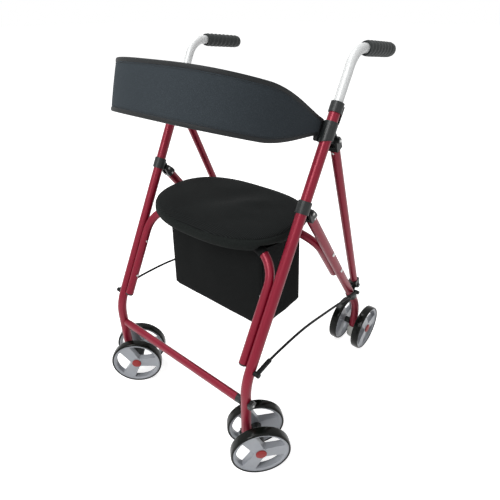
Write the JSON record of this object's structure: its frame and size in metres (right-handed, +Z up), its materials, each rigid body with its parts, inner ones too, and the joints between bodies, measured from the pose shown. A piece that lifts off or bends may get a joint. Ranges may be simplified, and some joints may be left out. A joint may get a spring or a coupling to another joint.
{
  "type": "folding walker",
  "caption": "Folding rollator walker with twin-wheel casters, padded seat, storage bag, curved back band and height-adjustable handles.",
  "frame": {"origin": "on the floor under the middle of the bounding box", "axes": "+Z up, -Y toward the front casters, +Y toward the user, +X toward the user's left"},
  "size_m": [0.6522, 0.7176, 0.9532],
  "materials": {
    "frame_red": "glossy metallic red paint",
    "silver_tube": "satin anodised",
    "black_plastic": "matt black moulding",
    "black_rubber": "ribbed black rubber",
    "tyre": "smooth black tread",
    "rim_grey": "satin light grey moulding",
    "hub_cap_red": "matt red moulding",
    "foot_grey": "light grey rubber",
    "black_fabric": "black mesh fabric",
    "band_fabric": "padded charcoal fabric",
    "cable_black": "black coated wire"
  },
  "bodies": {
    "front_frame": {"front_leg_left": "frame_red", "front_leg_right": "frame_red", "front_seat_tube": "frame_red", "lower_crossbar": "frame_red", "crossbar_knob": "black_plastic", "handle_collar_left": "black_plastic", "handle_collar_right": "black_plastic", "top_bracket_left": "black_plastic", "top_bracket_right": "black_plastic", "backrest_band": "band_fabric", "limiter_cable_left": "cable_black", "limiter_cable_right": "cable_black", "storage_bag": "black_fabric", "bag_floor": "black_fabric"},
    "sleeves": {"sleeve_left": "black_plastic", "sleeve_right": "black_plastic"},
    "rear_frame": {"rear_leg_left": "frame_red", "rear_leg_right": "frame_red", "knuckle_left": "black_plastic", "knuckle_right": "black_plastic", "strut_clamp_left": "black_plastic", "strut_clamp_right": "black_plastic", "brake_foot_left": "foot_grey", "brake_foot_right": "foot_grey", "rear_axle_left": "hub_cap_red", "rear_axle_right": "hub_cap_red", "seat_rest_left": "black_plastic", "seat_rest_right": "black_plastic", "rear_seat_tube": "frame_red", "bag_rear_strap": "black_fabric"},
    "struts": {"strut_left": "frame_red", "strut_right": "frame_red", "strut_top_left": "black_plastic", "strut_top_right": "black_plastic"},
    "seat": {"seat_cushion": "black_fabric", "seat_board": "black_plastic"},
    "handle_left": {"handle_tube_left": "silver_tube", "grip_left": "black_rubber"},
    "handle_right": {"handle_tube_right": "silver_tube", "grip_right": "black_rubber"},
    "caster_left": {"caster_body_left": "black_plastic", "caster_axle_left": "hub_cap_red"},
    "caster_right": {"caster_body_right": "black_plastic", "caster_axle_right": "hub_cap_red"},
    "wheel_front_left_outer": {"tyre_front_left_outer": "tyre", "rim_front_left_outer": "rim_grey"},
    "wheel_front_left_inner": {"tyre_front_left_inner": "tyre", "rim_front_left_inner": "rim_grey"},
    "wheel_front_right_outer": {"tyre_front_right_outer": "tyre", "rim_front_right_outer": "rim_grey"},
    "wheel_front_right_inner": {"tyre_front_right_inner": "tyre", "rim_front_right_inner": "rim_grey"},
    "wheel_rear_left_outer": {"tyre_rear_left_outer": "tyre", "rim_rear_left_outer": "rim_grey"},
    "wheel_rear_left_inner": {"tyre_rear_left_inner": "tyre", "rim_rear_left_inner": "rim_grey"},
    "wheel_rear_right_outer": {"tyre_rear_right_outer": "tyre", "rim_rear_right_outer": "rim_grey"},
    "wheel_rear_right_inner": {"tyre_rear_right_inner": "tyre", "rim_rear_right_inner": "rim_grey"}
  },
  "joints": [
    {"name": "sleeve_slide", "type": "slide", "parent": "front_frame", "child": "sleeves", "axis": [0, 0.4726, 0.8813], "range_m": [0, 0.0765]},
    {"name": "frame_fold", "type": "hinge", "parent": "sleeves", "child": "rear_frame", "pos_m": [-0.01965, -0.0721, 0.62148], "axis": [-1, 0, 0], "range_deg": [0, 36], "deforming": ["limiter_cable_left", "limiter_cable_right", "bag_rear_strap"]},
    {"name": "strut_swing", "type": "hinge", "parent": "front_frame", "child": "struts", "pos_m": [-0.01965, 0.01552, 0.76331], "axis": [-1, 0, 0], "range_deg": [0, 25.4]},
    {"name": "seat_flip", "type": "hinge", "parent": "front_frame", "child": "seat", "pos_m": [-0.01965, -0.14433, 0.53755], "axis": [1, 0, 0], "range_deg": [0, 62]},
    {"name": "handle_slide_left", "type": "slide", "parent": "front_frame", "child": "handle_left", "axis": [0, 0.4726, 0.8813], "range_m": [-0.06, 0.09]},
    {"name": "handle_slide_right", "type": "slide", "parent": "front_frame", "child": "handle_right", "axis": [0, 0.4726, 0.8813], "range_m": [-0.06, 0.09]},
    {"name": "caster_swivel_left", "type": "hinge", "parent": "front_frame", "child": "caster_left", "pos_m": [0.21935, -0.29063, 0.098], "axis": [0, 0, 1], "continuous": true},
    {"name": "caster_swivel_right", "type": "hinge", "parent": "front_frame", "child": "caster_right", "pos_m": [-0.25865, -0.29063, 0.098], "axis": [0, 0, 1], "continuous": true},
    {"name": "spin_front_left_outer", "type": "hinge", "parent": "caster_left", "child": "wheel_front_left_outer", "pos_m": [0.26851, -0.29559, 0.075], "axis": [0.7466, -0.6652, 0], "continuous": true},
    {"name": "spin_front_left_inner", "type": "hinge", "parent": "caster_left", "child": "wheel_front_left_inner", "pos_m": [0.20878, -0.24237, 0.075], "axis": [0.7466, -0.6652, 0], "continuous": true},
    {"name": "spin_front_right_outer", "type": "hinge", "parent": "caster_right", "child": "wheel_front_right_outer", "pos_m": [-0.26369, -0.24149, 0.075], "axis": [0.6665, -0.7455, 0], "continuous": true},
    {"name": "spin_front_right_inner", "type": "hinge", "parent": "caster_right", "child": "wheel_front_right_inner", "pos_m": [-0.21037, -0.30112, 0.075], "axis": [0.6665, -0.7455, 0], "continuous": true},
    {"name": "spin_rear_left_outer", "type": "hinge", "parent": "rear_frame", "child": "wheel_rear_left_outer", "pos_m": [0.25935, 0.28376, 0.075], "axis": [1, 0, 0], "continuous": true},
    {"name": "spin_rear_left_inner", "type": "hinge", "parent": "rear_frame", "child": "wheel_rear_left_inner", "pos_m": [0.17935, 0.28376, 0.075], "axis": [1, 0, 0], "continuous": true},
    {"name": "spin_rear_right_outer", "type": "hinge", "parent": "rear_frame", "child": "wheel_rear_right_outer", "pos_m": [-0.29865, 0.28376, 0.075], "axis": [1, 0, 0], "continuous": true},
    {"name": "spin_rear_right_inner", "type": "hinge", "parent": "rear_frame", "child": "wheel_rear_right_inner", "pos_m": [-0.21865, 0.28376, 0.075], "axis": [1, 0, 0], "continuous": true}
  ],
  "couplings": [
    {"joint": "sleeve_slide", "follows": "frame_fold", "m_per_rad": 0.1213},
    {"joint": "strut_swing", "follows": "frame_fold", "ratio": 0.7037},
    {"joint": "seat_flip", "follows": "frame_fold", "ratio": 1.717}
  ]
}
